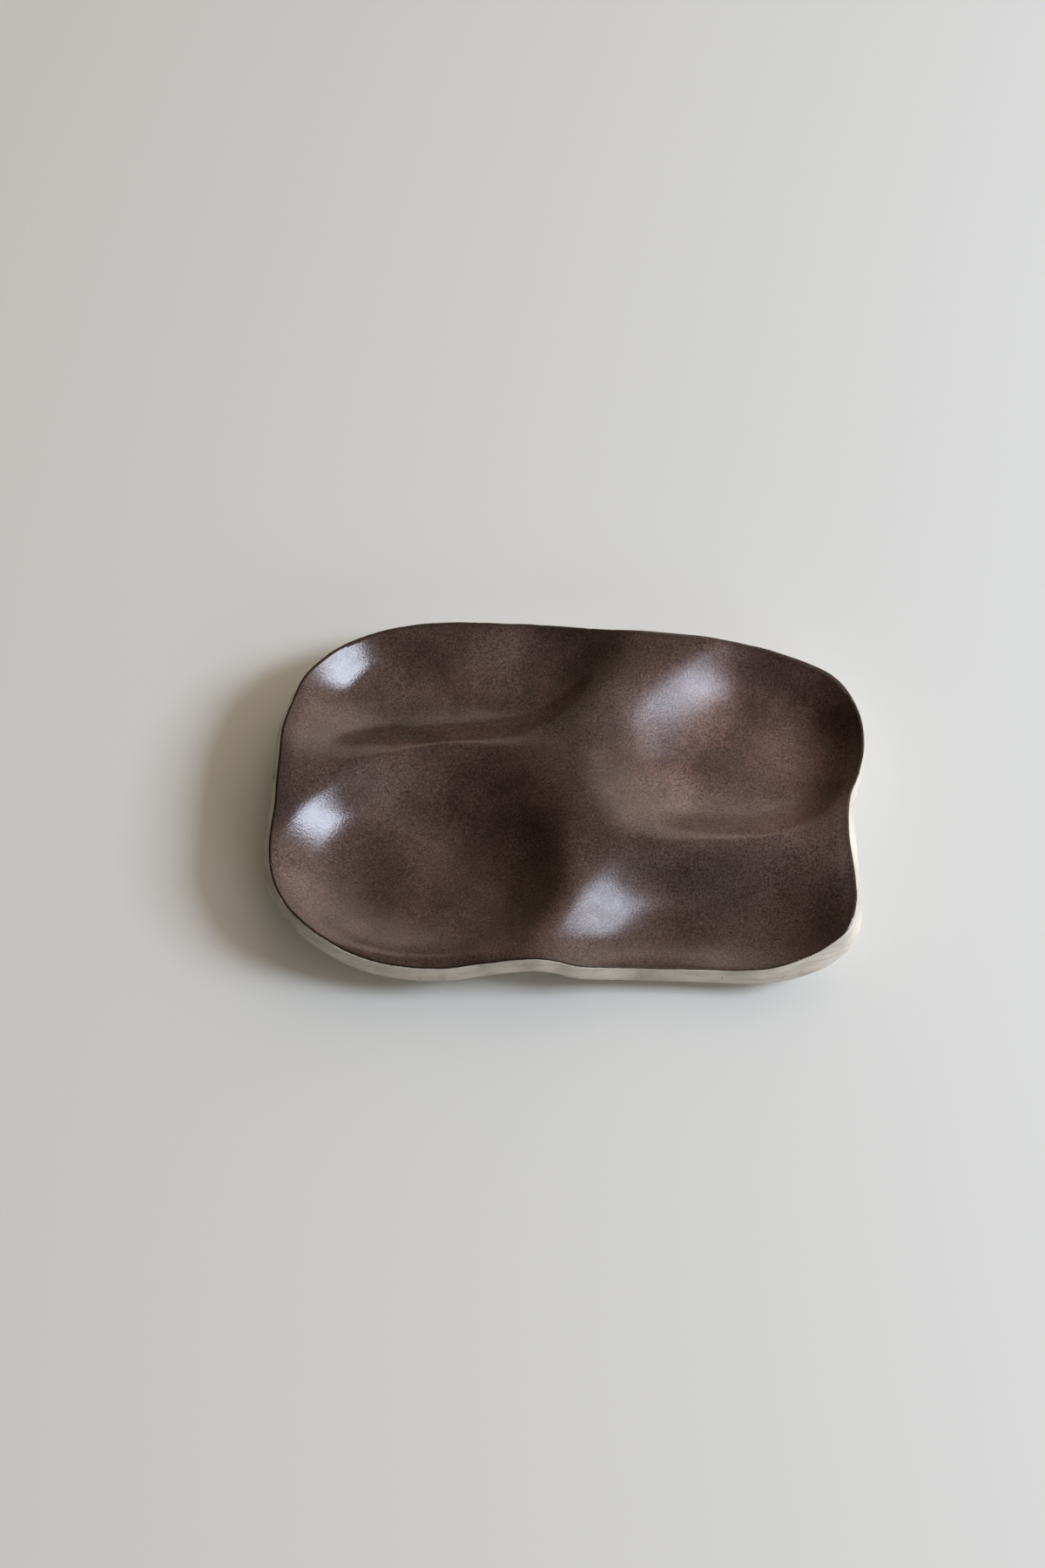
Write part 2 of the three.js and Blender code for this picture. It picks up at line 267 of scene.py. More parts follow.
@dataclass
class GlazeEdge:
    """The glaze's edge in plan, in millimetres.

    It is a closed smooth curve, drawn anticlockwise through listed points. Each point also says
    how far the foot of the slab's cut edge stands out beyond the glaze there.
    """

    right_side: Sequence[PlanPoint] = (
        (107.5, -34, 2.4), (106, -18, 3.4), (107.5, -3, 2.6), (112, 8.5, 1.2), (114.5, 20, 0.9))
    back_right_corner: Sequence[PlanPoint] = ((114, 31, 0.9), (110, 41.5, 0.9), (103, 50, 1.0))
    back_side: Sequence[PlanPoint] = (
        (82, 60.5, 1.3), (62, 65, 1.4), (43, 67.3, 1.4), (24, 69.5, 1.4), (0, 73, 1.4), (-24, 73.8, 1.4),
        (-48, 74, 1.4))
    back_left_corner: Sequence[PlanPoint] = (
        (-66, 71.7, 1.5), (-76, 68.7, 1.6), (-86.5, 63.3, 1.7), (-94.5, 56.7, 1.8), (-101, 48.8, 1.9))
    left_side: Sequence[PlanPoint] = (
        (-105.2, 39, 2.1), (-108.7, 26, 2.2), (-109.6, 10, 2.3), (-110.2, -6, 2.4), (-111.5, -22, 2.5))
    front_left_corner: Sequence[PlanPoint] = (
        (-110.5, -33, 2.6), (-107.5, -41, 2.7), (-102.5, -48.5, 2.7), (-94.5, -56, 2.8), (-84, -62.5, 2.8))
    front_side: Sequence[PlanPoint] = (
        (-71.5, -66.8, 2.8), (-58, -69, 2.8), (-45, -69.3, 2.8), (-29, -67.8, 2.7), (-7, -67.3, 2.6),
        (5, -68.9, 2.7), (20, -68.2, 2.7), (48, -68.6, 2.9))
    front_right_corner: Sequence[PlanPoint] = (
        (75, -68.6, 3.6), (86, -65.5, 4.6), (96, -61, 5.0), (104, -55, 4.2), (107.5, -45, 2.8))
    steps: int = 400  # samples to a stretch between two points
    look: float = 0.002  # share of the edge's length looked at each way to find its direction
    samples: np.ndarray = field(init=False)
    shares: np.ndarray = field(init=False)
    corners: tuple[float, ...] = field(init=False)

    def __post_init__(self) -> None:
        """Samples the curve and finds the net's corners on it."""
        drawn = np.array([
            *self.right_side, *self.back_right_corner, *self.back_side, *self.back_left_corner,
            *self.left_side, *self.front_left_corner, *self.front_side, *self.front_right_corner], float)
        samples = closed_curve(drawn, self.steps)
        self.samples = np.vstack([samples, samples[:1]])
        along = np.linalg.norm(np.diff(self.samples[:, :2], axis=0), axis=1)
        self.shares = np.concatenate([[0], np.cumsum(along)]) / along.sum()
        corners = (
            self.back_right_corner, self.back_left_corner, self.front_left_corner, self.front_right_corner)
        self.corners = tuple(self._share_nearest(corner[len(corner) // 2]) for corner in corners)

    def _share_nearest(self, point: PlanPoint) -> float:
        """Share of the edge's length at which it passes nearest to a point."""
        return float(self.shares[np.linalg.norm(self.samples[:, :2] - np.array(point[:2]), axis=1).argmin()])

    def point(self, share: np.ndarray) -> tuple[np.ndarray, np.ndarray]:
        """Places on the edge by their share of its length."""
        return (np.interp(share % 1, self.shares, self.samples[:, 0]),
                np.interp(share % 1, self.shares, self.samples[:, 1]))

    def foot(self, share: np.ndarray) -> np.ndarray:
        """How far the foot of the cut edge stands out beyond the glaze."""
        return np.interp(share % 1, self.shares, self.samples[:, 2])

    def outward(self, share: np.ndarray) -> tuple[np.ndarray, np.ndarray]:
        """Which way is out of the plate in plan, square to the edge."""
        (x0, y0), (x1, y1) = self.point(share - self.look), self.point(share + self.look)
        size = np.hypot(x1 - x0, y1 - y0)
        return (y1 - y0) / size, -(x1 - x0) / size


@dataclass
class PlateNet:
    """A square net of cells, from -1 to 1 each way, stretched over the plate's plan."""

    edge: GlazeEdge
    u: np.ndarray
    v: np.ndarray
    x: np.ndarray = field(init=False)
    y: np.ndarray = field(init=False)
    out: np.ndarray = field(init=False)  # share of the way out from the middle
    share: np.ndarray = field(init=False)  # share of the edge's length

    def __post_init__(self) -> None:
        """Stretches the net over the plan."""
        self.out = np.maximum(np.abs(self.u), np.abs(self.v))
        away = np.maximum(self.out, TINY)
        self.share = self._border_share(self.u / away, self.v / away)
        edge_x, edge_y = self.edge.point(self.share)
        self.x, self.y = edge_x * self.out, edge_y * self.out

    def _border_share(self, u: np.ndarray, v: np.ndarray) -> np.ndarray:
        """Share of the edge's length for places on the square's border.

        Args:
            u: places along the square, from -1 to 1.
            v: places across it.

        Returns:
            The shares, from 0 to 1.
        """
        back_right, back_left, front_left, front_right = self.edge.corners
        sides = (
            (v >= np.abs(u), back_right, back_left, -u),
            (-u >= np.abs(v), back_left, front_left, -v),
            (-v >= np.abs(u), front_left, front_right, u),
            (u >= np.abs(v), front_right, back_right, v),
        )
        share = np.zeros_like(u)
        for on_side, start, end, part in reversed(sides):
            share = np.where(on_side, start + ((end - start) % 1) * (part + 1) / 2, share)
        return share % 1

    def from_edge(self) -> np.ndarray:
        """Distance in from the glaze's edge, in millimetres."""
        edge_x, edge_y = self.edge.point(self.share)
        return (1 - self.out) * np.hypot(edge_x, edge_y)


@dataclass
class EdgeProfile:
    """The slab's cut edge, at shares of the glaze edge's length."""

    slab: Slab
    edge: GlazeEdge

    def place(self, share: np.ndarray, beyond: np.ndarray, along_foot: float, down: float) -> np.ndarray:
        """Points of the cut edge.

        Args:
            share: shares of the glaze edge's length.
            beyond: distances out beyond the foot's own part, in millimetres.
            along_foot: the share of the foot's distance to go out.
            down: distance down from the glaze edge, in millimetres.

        Returns:
            The points in millimetres, one row each.
        """
        x, y = self.edge.point(share)
        out_x, out_y = self.edge.outward(share)
        away = beyond + along_foot * self.edge.foot(share)
        return np.stack([x + out_x * away, y + out_y * away, self.slab.height(x, y) - down], -1)


class NodeTree:
    """A material's or the world's node tree, with one way to add a node."""

    def __init__(self, tree: bpy.types.NodeTree) -> None:
        """Clears the tree.

        Args:
            tree: the node tree to fill.
        """
        self.tree = tree
        tree.nodes.clear()

    def add(self, kind: str, settings: dict | None = None, **inputs: object) -> bpy.types.Node:
        """Adds a node.

        Args:
            kind: the node's type.
            settings: properties to set on the node itself; the "stops" of a colour ramp are places
                from 0 to 1 with their sRGB hex colours.
            **inputs: values or output sockets for its inputs, by name with spaces as underscores,
                or by number as in n0.

        Returns:
            The node.
        """
        node = self.tree.nodes.new(kind)
        for name, value in (settings or {}).items():
            if name != "stops":
                setattr(node, name, value)
                continue
            elements = node.color_ramp.elements
            while len(elements) < len(value):
                elements.new(1.0)
            for element, (place, colour) in zip(elements, value):
                element.position, element.color = place, srgb(colour)
        for name, value in inputs.items():
            numbered = name[0] == "n" and name[1:].isdigit()
            socket = node.inputs[int(name[1:]) if numbered else name.replace("_", " ")]
            if isinstance(value, bpy.types.NodeSocket):
                self.tree.links.new(value, socket)
            else:
                socket.default_value = value
        return node


@dataclass(frozen=True)
class GlazeAndShadePatch:
    """A place where the glaze is drawn lighter or darker than elsewhere, in metres.

    It is partly glaze lying thin and partly painted light and shade on walls and in the middle. The gain
    lightens or darkens it, and drier is how much rougher its skin is.
    """

    place: tuple[float, float, float]
    full: float
    reach: float
    gain: float
    drier: float = 0.0


@dataclass(frozen=True)
class SatinBrownGlaze:
    """A satin brown stoneware glaze, dipped and fired.

    It has iron speckle, soft mottling, and a dark line where it thins at the edge.
    """

    light: str = "#5e4b43"
    body: str = "#513d36"
    deep: str = "#412f2a"
    cool: str = "#423b39"
    speck: str = "#1d1613"
    fleck: str = "#8d786a"
    rim: str = "#231b17"
    sheen: float = 0.35
    sheen_roughness: float = 0.6
    skin: float = 0.85
    skin_ior: float = 1.5
    glossiest: float = 0.13  # the skin's roughness where it is smoothest
    dullest: float = 0.22  # and where it is least smooth
    mottle_mm: float = 26.0
    cloud_mm: float = 42.0
    grain_mm: float = 0.7
    speck_mm: float = 1.15
    patch_mm: float = 17.0
    fleck_mm: float = 5.0
    peel_mm: float = 0.9
    peel_depth_mm: float = 0.07
    peel_strength: float = 0.6
    rim_mm: float = 5.0
    grain: float = 0.5  # how far the grain lightens and darkens
    crowding: float = 0.5  # how far the specks crowd into patches
    rim_flecks: float = 0.3  # how much likelier a fleck is at the edge
    # Painted light and thin glaze in the back right well, painted shade in the middle, painted light on the
    # back left well's right end, the front right well's right side and the front left well's front left; the
    # last only dries the skin over a highlight
    patches: tuple[GlazeAndShadePatch, ...] = (
        GlazeAndShadePatch((0.070, 0.021, 0.006), 0.022, 0.065, 1.8, 0.14),
        GlazeAndShadePatch((0.010, 0.014, 0.016), 0.004, 0.032, 0.72),
        GlazeAndShadePatch((-0.017, 0.060, 0.008), 0.004, 0.034, 1.38),
        GlazeAndShadePatch((0.092, -0.032, 0.010), 0.004, 0.036, 1.5),
        GlazeAndShadePatch((-0.091, -0.037, 0.012), 0.004, 0.030, 1.15),
        GlazeAndShadePatch((0.015, -0.043, 0.012), 0.012, 0.038, 1.0, 0.13),
    )

    def material(self) -> bpy.types.Material:
        """Builds the glaze's material.

        Returns:
            The material.
        """
        material = bpy.data.materials.new("satin_brown_glaze")
        material.use_nodes = True
        nodes = NodeTree(material.node_tree)
        place = nodes.add("ShaderNodeTexCoord").outputs["Object"]
        # Dipped glaze lies unevenly, so its brown drifts from red to grey in patches
        dipped = nodes.add("ShaderNodeTexNoise", Vector=place, Scale=per_metre(self.mottle_mm), Detail=5.0,
                           Roughness=0.6)
        mottle = nodes.add("ShaderNodeValToRGB", {"stops": (
            (0.35, self.deep), (0.50, self.body), (0.66, self.light))}, Fac=dipped.outputs["Fac"])
        clouds = nodes.add("ShaderNodeTexNoise", Vector=place, Scale=per_metre(self.cloud_mm), Detail=3.0,
                           Roughness=NOISE_ROUGHNESS)
        greyed = nodes.add("ShaderNodeValToRGB", {"stops": ((0.46, "#000000"), (0.68, "#a4a4a4"))},
                           Fac=clouds.outputs["Fac"])
        drifted = nodes.add("ShaderNodeMix", {"data_type": "RGBA"}, n0=greyed.outputs["Color"],
                            n6=mottle.outputs["Color"], n7=srgb(self.cool))
        # Patches lighten or darken the glaze as painted light and shade; in the back right well the glaze
        # also lies thinnest, where more of the pale clay shows and the skin is drier
        thin_glaze_and_shade_gain: bpy.types.NodeSocket | float = 1.0
        drier: bpy.types.NodeSocket | float = 0.0
        for patch in self.patches:
            away = nodes.add("ShaderNodeVectorMath", {"operation": "DISTANCE"}, n0=place, n1=patch.place)
            near = nodes.add("ShaderNodeMapRange", {"interpolation_type": "SMOOTHSTEP"},
                             Value=away.outputs["Value"], n1=patch.full, n2=patch.reach, n3=1.0, n4=0.0)
            lift = nodes.add("ShaderNodeMath", {"operation": "MULTIPLY_ADD"}, n0=near.outputs[0],
                             n1=patch.gain - 1, n2=1.0)
            thin_glaze_and_shade_gain = nodes.add("ShaderNodeMath", {"operation": "MULTIPLY"}, n0=lift.outputs[0],
                                n1=thin_glaze_and_shade_gain).outputs[0]
            drier = nodes.add("ShaderNodeMath", {"operation": "MULTIPLY_ADD"}, n0=near.outputs[0],
                              n1=patch.drier, n2=drier).outputs[0]
        # Crystals in the satin glaze give it a grain, drawn as coarse as it needs to be to show
        crystals = nodes.add("ShaderNodeTexNoise", Vector=place, Scale=per_metre(self.grain_mm), Detail=1.0,
                             Roughness=0.6)
        grain = nodes.add("ShaderNodeMapRange", Value=crystals.outputs["Fac"], n1=NOISE_LOW, n2=NOISE_HIGH,
                          n3=1 - self.grain, n4=1 + self.grain)
        gain = nodes.add("ShaderNodeMath", {"operation": "MULTIPLY"}, n0=thin_glaze_and_shade_gain, n1=grain.outputs[0])
        grained = nodes.add("ShaderNodeVectorMath", {"operation": "SCALE"}, n0=drifted.outputs[2],
                            Scale=gain.outputs[0])
        # Iron in the clay bleeds through as dark specks that crowd in patches, drawn as coarse as the grain
        bled = nodes.add("ShaderNodeTexNoise", Vector=place, Scale=per_metre(self.patch_mm), Detail=3.0,
                         Roughness=NOISE_ROUGHNESS)
        iron = nodes.add("ShaderNodeTexNoise", Vector=place, Scale=per_metre(self.speck_mm), Detail=2.0,
                         Roughness=0.7)
        crowded = nodes.add("ShaderNodeMath", {"operation": "MULTIPLY_ADD"}, n0=bled.outputs["Fac"],
                            n1=self.crowding, n2=iron.outputs["Fac"])
        specks = nodes.add("ShaderNodeValToRGB", {"stops": ((0.79, "#000000"), (0.92, "#bcbcbc"))},
                           Fac=crowded.outputs[0])
        specked = nodes.add("ShaderNodeMix", {"data_type": "RGBA"}, n0=specks.outputs["Color"],
                            n6=grained.outputs[0], n7=srgb(self.speck))
        # The glaze thins where it runs off the arris, and dries to a dark line
        from_edge = nodes.add("ShaderNodeAttribute", {"attribute_name": "from_edge_mm"}).outputs["Fac"]
        inward = nodes.add("ShaderNodeMath", {"operation": "DIVIDE"}, n0=from_edge, n1=self.rim_mm)
        thin = nodes.add("ShaderNodeValToRGB", {"stops": (
            (0.0, "#ffffff"), (0.26, "#848484"), (0.95, "#000000"))}, Fac=inward.outputs[0]).outputs["Color"]
        rimmed = nodes.add("ShaderNodeMix", {"data_type": "RGBA"}, n0=thin, n6=specked.outputs[2],
                           n7=srgb(self.rim))
        # A few pale flecks, where a pinhole has healed over, most of them where the glaze is thin
        cells = nodes.add("ShaderNodeTexVoronoi", Vector=place, Scale=per_metre(self.fleck_mm))
        dot = nodes.add("ShaderNodeValToRGB", {"stops": ((0.03, "#ffffff"), (0.06, "#000000"))},
                        Fac=cells.outputs["Distance"])
        chance = nodes.add("ShaderNodeSeparateColor", Color=cells.outputs["Color"])
        likelier = nodes.add("ShaderNodeMath", {"operation": "MULTIPLY_ADD"}, n0=thin, n1=self.rim_flecks,
                             n2=chance.outputs[0])
        rare = nodes.add("ShaderNodeValToRGB", {"stops": ((0.80, "#000000"), (0.84, "#ffffff"))},
                         Fac=likelier.outputs[0])
        fleck = nodes.add("ShaderNodeMath", {"operation": "MULTIPLY"}, n0=dot.outputs["Color"],
                          n1=rare.outputs["Color"])
        flecked = nodes.add("ShaderNodeMix", {"data_type": "RGBA"}, n0=fleck.outputs[0],
                            n6=rimmed.outputs[2], n7=srgb(self.fleck))
        # Satin gloss with a faint orange peel, which breaks up the edge of each highlight
        drift = nodes.add("ShaderNodeTexNoise", Vector=place, Scale=per_metre(self.mottle_mm / 3),
                          Detail=3.0, Roughness=NOISE_ROUGHNESS)
        gloss = nodes.add("ShaderNodeMapRange", Value=drift.outputs["Fac"], n1=NOISE_LOW, n2=NOISE_HIGH,
                          n3=self.glossiest, n4=self.dullest)
        dried = nodes.add("ShaderNodeMath", {"operation": "ADD"}, n0=gloss.outputs[0], n1=drier)
        ripple = nodes.add("ShaderNodeTexNoise", Vector=place, Scale=per_metre(self.peel_mm), Detail=2.0,
                           Roughness=NOISE_ROUGHNESS)
        peel = nodes.add("ShaderNodeBump", Height=ripple.outputs["Fac"], Strength=self.peel_strength,
                         Distance=self.peel_depth_mm * MM)
        # Fine crystals in the glaze mirror the room broadly in its own brown, under a smoother glassy skin
        shader = nodes.add("ShaderNodeBsdfPrincipled", Base_Color=flecked.outputs[2], Metallic=self.sheen,
                           Roughness=self.sheen_roughness, Normal=peel.outputs[0], Specular_IOR_Level=0.0,
                           Coat_Weight=self.skin, Coat_Roughness=dried.outputs[0], Coat_IOR=self.skin_ior,
                           Coat_Normal=peel.outputs[0])
        nodes.add("ShaderNodeOutputMaterial", Surface=shader.outputs[0])
        return material


@dataclass(frozen=True)
class BareStoneware:
    """Buff stoneware, bisque fired and left bare: sponged smooth, with grog specks and faint drag marks."""

    pale: str = "#d6cebf"
    body: str = "#c6bdae"
    smudge: str = "#928a7d"
    speck: str = "#5f564b"
    roughness: float = 0.82
    smudge_mm: float = 14.0
    drag_mm: float = 1.1
    drag_stretch: float = 0.08  # how slowly the drag marks change along the edge, as against down it
    speck_mm: float = 3.2
    grit_mm: float = 0.5
    grit_depth_mm: float = 0.08
    grit_strength: float = 0.8

    def material(self) -> bpy.types.Material:
        """Builds the bare clay's material.

        Returns:
            The material.
        """
        material = bpy.data.materials.new("bare_stoneware")
        material.use_nodes = True
        nodes = NodeTree(material.node_tree)
        place = nodes.add("ShaderNodeTexCoord").outputs["Object"]
        # A wet sponge leaves grey smudges and drags fine lines along the edge
        sponged = nodes.add("ShaderNodeTexNoise", Vector=place, Scale=per_metre(self.smudge_mm), Detail=4.0,
                            Roughness=0.6)
        smudges = nodes.add("ShaderNodeValToRGB", {"stops": (
            (0.34, self.pale), (0.55, self.body), (0.78, self.smudge))}, Fac=sponged.outputs["Fac"])
        stretched = nodes.add("ShaderNodeMapping", Vector=place,
                              Scale=(self.drag_stretch, self.drag_stretch, 1.0))
        drag = nodes.add("ShaderNodeTexNoise", Vector=stretched.outputs[0], Scale=per_metre(self.drag_mm),
                         Detail=3.0)
        lines = nodes.add("ShaderNodeValToRGB", {"stops": ((0.42, "#000000"), (0.70, "#b4b4b4"))},
                          Fac=drag.outputs["Fac"])
        dragged = nodes.add("ShaderNodeMix", {"data_type": "RGBA"}, n0=lines.outputs["Color"],
                            n6=smudges.outputs["Color"], n7=srgb(self.smudge))
        # Grog in the clay shows as a few dark specks
        cells = nodes.add("ShaderNodeTexVoronoi", Vector=place, Scale=per_metre(self.speck_mm))
        dot = nodes.add("ShaderNodeValToRGB", {"stops": ((0.06, "#ffffff"), (0.11, "#000000"))},
                        Fac=cells.outputs["Distance"])
        chance = nodes.add("ShaderNodeSeparateColor", Color=cells.outputs["Color"])
        rare = nodes.add("ShaderNodeValToRGB", {"stops": ((0.62, "#000000"), (0.66, "#ffffff"))},
                         Fac=chance.outputs[0])
        speck = nodes.add("ShaderNodeMath", {"operation": "MULTIPLY"}, n0=dot.outputs["Color"],
                          n1=rare.outputs["Color"])
        specked = nodes.add("ShaderNodeMix", {"data_type": "RGBA"}, n0=speck.outputs[0],
                            n6=dragged.outputs[2], n7=srgb(self.speck))
        # Bare fired clay is dry and gritty, so it looks matt and chalky
        grit = nodes.add("ShaderNodeTexNoise", Vector=place, Scale=per_metre(self.grit_mm), Detail=3.0)
        rough = nodes.add("ShaderNodeBump", Height=grit.outputs["Fac"], Strength=self.grit_strength,
                          Distance=self.grit_depth_mm * MM)
        shader = nodes.add("ShaderNodeBsdfPrincipled", Base_Color=specked.outputs[2],
                           Roughness=self.roughness, Normal=rough.outputs[0])
        nodes.add("ShaderNodeOutputMaterial", Surface=shader.outputs[0])
        return material


@dataclass
class NetPiece:
    """A closed piece raised from a net of cells: a lower sheet, rings round its edge, and an upper sheet."""

    name: str
    cells_along: int = 220
    cells_across: int = 146
    first_lift: float = 0.1  # how far a sheet is raised before its points are put in place

    def raise_sheet(self, rings: int) -> tuple[bpy.types.Object, np.ndarray, np.ndarray, PlateNet]:
        """Adds a grid and extrudes it upward.

        Args:
            rings: how many rings of points lie between the lower and the upper sheet.

        Returns:
            The piece, each point's place in the net, each point's level from 0 below to rings + 1 above,
            and the net.
        """
        deselect_all()
        bpy.ops.mesh.primitive_grid_add(
            x_subdivisions=self.cells_along, y_subdivisions=self.cells_across, size=2)
        piece = bpy.context.object
        piece.name = piece.data.name = self.name
        mesh = piece.data
        corners = points_of(piece)
        net = PlateNet(GlazeEdge(), corners[:, 0].copy(), corners[:, 1].copy())
        for label in ("net", "level"):
            mesh.attributes.new(label, "INT", "POINT")
        mesh.attributes["net"].data.foreach_set("value", np.arange(len(mesh.vertices), dtype=np.int32))
        for level in range(1, rings + 2):
            bpy.ops.object.mode_set(mode="EDIT")
            if level == 1:
                bpy.ops.mesh.select_all(action="SELECT")
            bpy.ops.mesh.extrude_region_move(TRANSFORM_OT_translate={"value": (0, 0, self.first_lift)})
            bpy.ops.object.mode_set(mode="OBJECT")
            chosen = np.empty(len(mesh.vertices), dtype=bool)
            mesh.vertices.foreach_get("select", chosen)
            levels = self._labels(mesh, "level")
            levels[chosen] = level
            mesh.attributes["level"].data.foreach_set("value", levels)
        return piece, self._labels(mesh, "net"), self._labels(mesh, "level"), net

    @staticmethod
    def _labels(mesh: bpy.types.Mesh, label: str) -> np.ndarray:
        """Reads a whole-number label of the mesh's points."""
        values = np.empty(len(mesh.vertices), dtype=np.int32)
        mesh.attributes[label].data.foreach_get("value", values)
        return values

    @staticmethod
    def settle(piece: bpy.types.Object, points: np.ndarray) -> None:
        """Puts the points in place, turns the faces outward and smooths the shading.

        Args:
            piece: the piece to settle.
            points: its points in millimetres, one row each.
        """
        piece.data.vertices.foreach_set("co", (points * MM).ravel())
        piece.data.update()
        deselect_all()
        piece.select_set(True)
        bpy.context.view_layer.objects.active = piece
        bpy.ops.object.mode_set(mode="EDIT")
        bpy.ops.mesh.select_all(action="SELECT")
        bpy.ops.mesh.normals_make_consistent(inside=False)
        bpy.ops.object.mode_set(mode="OBJECT")
        bpy.ops.object.shade_smooth()
        for label in ("net", "level"):
            piece.data.attributes.remove(piece.data.attributes[label])


@dataclass
class StonewareBody(NetPiece):
    """The pressed clay slab with its cut edge and its underside."""

    name: str = "clay_slab"
    slab: Slab = field(default_factory=Slab)
    arris_rings: int = 5
    face_rings: int = 5
    spread_from: float = 0.7  # share of the way out at which the underside starts to spread to the foot
    waver: float = 0.22  # how far the hand-cut edge strays, in millimetres
    waver_busy: float = 9.0  # how often it strays round the plate
    waver_fall: float = 0.35  # how soon it strays otherwise down the edge

    def profile(self) -> list[tuple[float, float, float]]:
        """The cut edge from its foot to the glaze.

        Returns:
            Its rings: millimetres out, share of the foot's distance and millimetres down.
        """
        upper, lower, drop = self.slab.upper_arris, self.slab.lower_arris, self.slab.edge_drop
        steps = np.linspace(0, math.pi / 2, self.arris_rings)
        foot = [(-lower * (1 - math.sin(a)), 1.0, drop - lower * (1 - math.cos(a))) for a in steps]
        head = [(upper * math.cos(a), 0.0, upper * (1 - math.sin(a))) for a in steps]
        shares = np.linspace(0, 1, self.face_rings + 2)[1:-1]
        face = [(upper * k, 1 - k, (drop - lower) * (1 - k) + upper * k) for k in shares]
        return [*foot, *face, *head]

    def build(self) -> bpy.types.Object:
        """Models the slab.

        Returns:
            The piece.
        """
        profile = self.profile()
        piece, place, level, net = self.raise_sheet(rings=len(profile) - 2)
        edge = EdgeProfile(self.slab, net.edge)
        x, y, out, share = (part[place] for part in (net.x, net.y, net.out, net.share))
        points = np.stack([x, y, self.slab.height(x, y)], -1)
        # The underside spreads out to the foot of the cut edge and meets it there
        foot = edge.place(share, *profile[0])
        edge_x, edge_y = net.edge.point(share)
        part = smoothstep(out, self.spread_from, 1)
        thickness = self.slab.thickness + (self.slab.edge_drop - self.slab.thickness) * part
        # It lies flat where the clay was pressed down to the board
        under = np.maximum(0, points[:, 2] - thickness)
        below = level == 0
        points[below] = np.stack([
            x + (foot[:, 0] - edge_x) * part, y + (foot[:, 1] - edge_y) * part, under], -1)[below]
        for ring, (beyond, along_foot, down) in enumerate(profile[1:-1], start=1):
            here = level == ring
            stray = np.array([noise_round(a, self.waver_busy, self.waver_fall * down)
                              for a in share[here] * 2 * math.pi])
            # The knife strays inward only, so the edge stays within the frame's own
            stray = (stray - 1) * self.waver / 2 * math.sin(math.pi * down / self.slab.edge_drop)
            points[here] = edge.place(share[here], beyond + stray, along_foot, down)
        self.settle(piece, points)
        return piece

    def dress(self, piece: bpy.types.Object) -> None:
        """Gives the slab its bare clay and ties it to the frame."""
        piece.data.materials.append(BareStoneware().material())
        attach(piece, BODY)
        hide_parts("stoneware_body")


@dataclass
class GlazeCoat(NetPiece):
    """The glaze fused to the slab's upper face, thinning and slightly ragged at its edge."""

    name: str = "satin_glaze"
    slab: Slab = field(default_factory=Slab)
    thickness: float = 0.5
    edge_thickness: float = 0.18
    thinning_width: float = 6.0
    seat: float = 0.01  # how far the glaze's own underside lies above the clay, in millimetres
    shoulder: float = 0.7  # share of its thickness at which the coat turns over its edge
    inset: float = 0.12
    least_inset: float = 0.03
    ragged: float = 0.25
    ragged_from: float = 0.9  # share of the way out from which the raggedness grows
    rag_wide: float = 14.0  # how busy the wide and the fine waves of the ragged edge are
    rag_fine: float = 60.0
    wide_cut: float = 0.3  # where the noise is cut for each
    fine_cut: float = 5.1
    wide_share: float = 0.6

    def build(self) -> bpy.types.Object:
        """Models the glaze.

        Returns:
            The piece.
        """
        piece, place, level, net = self.raise_sheet(rings=1)
        x, y, out, share = (part[place] for part in (net.x, net.y, net.out, net.share))
        out_x, out_y = net.edge.outward(share)
        inset = self.inset + self.ragged * np.array([self._rag(a) for a in share * 2 * math.pi])
        inset = np.maximum(inset, self.least_inset) * smoothstep(out, self.ragged_from, 1)
        x, y = x - out_x * inset, y - out_y * inset
        from_edge = net.from_edge()[place]
        full = self.edge_thickness + (self.thickness - self.edge_thickness) * smoothstep(
            from_edge, 0, self.thinning_width)
        lift = np.select(
            [level == 0, level == 1], [np.full_like(full, self.seat), full * self.shoulder], full)
        points = np.stack([x, y, self.slab.height(x, y) + lift], -1)
        self.settle(piece, points)
        label = piece.data.attributes.new("from_edge_mm", "FLOAT", "POINT")
        label.data.foreach_set("value", from_edge.astype(np.float32))
        return piece

    def _rag(self, around: float) -> float:
        """How ragged the glaze's edge is at a place, from about -1 to 1."""
        wide = noise_round(around, self.rag_wide, self.wide_cut)
        fine = noise_round(around, self.rag_fine, self.fine_cut)
        return self.wide_share * wide + (1 - self.wide_share) * fine

    def dress(self, piece: bpy.types.Object) -> None:
        """Gives the glaze its finish and ties it to the frame."""
        piece.data.materials.append(SatinBrownGlaze().material())
        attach(piece, BODY)
        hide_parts("glaze_coat")


@dataclass
class SnackPlate:
    """The whole plate: the slab and its glaze, centred over the frame's origin."""

    body: StonewareBody = field(default_factory=StonewareBody)
    glaze: GlazeCoat = field(default_factory=GlazeCoat)

    def build(self) -> list[bpy.types.Object]:
        """Models and dresses both pieces.

        Returns:
            The pieces.
        """
        slab = self.body.build()
        coat = self.glaze.build()
        shift = self._to_frame(slab)
        for piece in (slab, coat):
            piece.data.vertices.foreach_set("co", (points_of(piece) + shift).ravel())
            piece.data.update()
        self.body.dress(slab)
        self.glaze.dress(coat)
        return [slab, coat]

    @staticmethod
    def _to_frame(slab: bpy.types.Object) -> np.ndarray:
        """How far the plate moves in plan so that it lies where the frame's own slab lies."""
        low, high = (np.array(corner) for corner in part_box("stoneware_body"))
        points = points_of(slab)
        shift = (low + high) / 2 - (points.min(0) + points.max(0)) / 2
        shift[2] = 0
        log.info("moved %s mm in plan", np.round(shift[:2] / MM, 2))
        return shift


